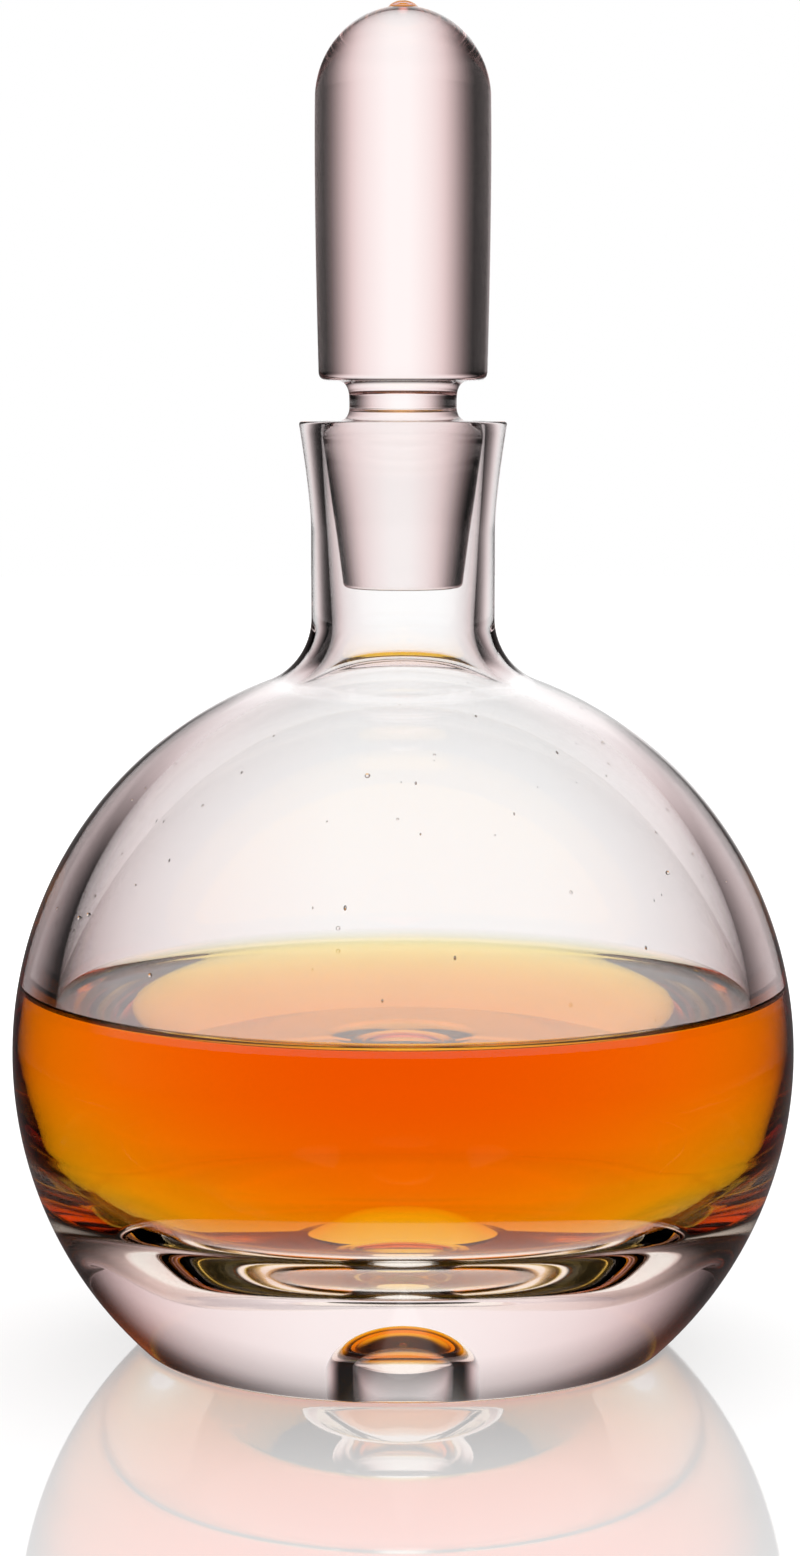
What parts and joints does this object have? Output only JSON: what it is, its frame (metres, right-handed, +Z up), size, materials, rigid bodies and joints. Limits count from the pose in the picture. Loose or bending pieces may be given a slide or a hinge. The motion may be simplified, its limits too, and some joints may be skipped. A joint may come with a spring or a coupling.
{
  "type": "decanter",
  "caption": "Thick blown glass globe decanter with a flared neck and a tall round-topped solid glass stopper, part filled with cognac.",
  "frame": {"origin": "middle of the foot, on the surface that the decanter stands on", "axes": "+Z up along the common axis of globe, neck and stopper; -Y towards the viewer of the picture, +X to their right"},
  "size_m": [0.14, 0.14, 0.2392],
  "materials": {
    "flask_glass": "polished",
    "stopper_glass": "polished",
    "cognac": "gloss"
  },
  "bodies": {
    "flask": {"decanter_body": "flask_glass", "cognac": "cognac"},
    "stopper": {"stopper": "stopper_glass"}
  },
  "joints": [
    {"name": "stopper_lift", "type": "slide", "parent": "flask", "child": "stopper", "axis": [0, 0, 1], "range_m": [0, 0.045]}
  ]
}
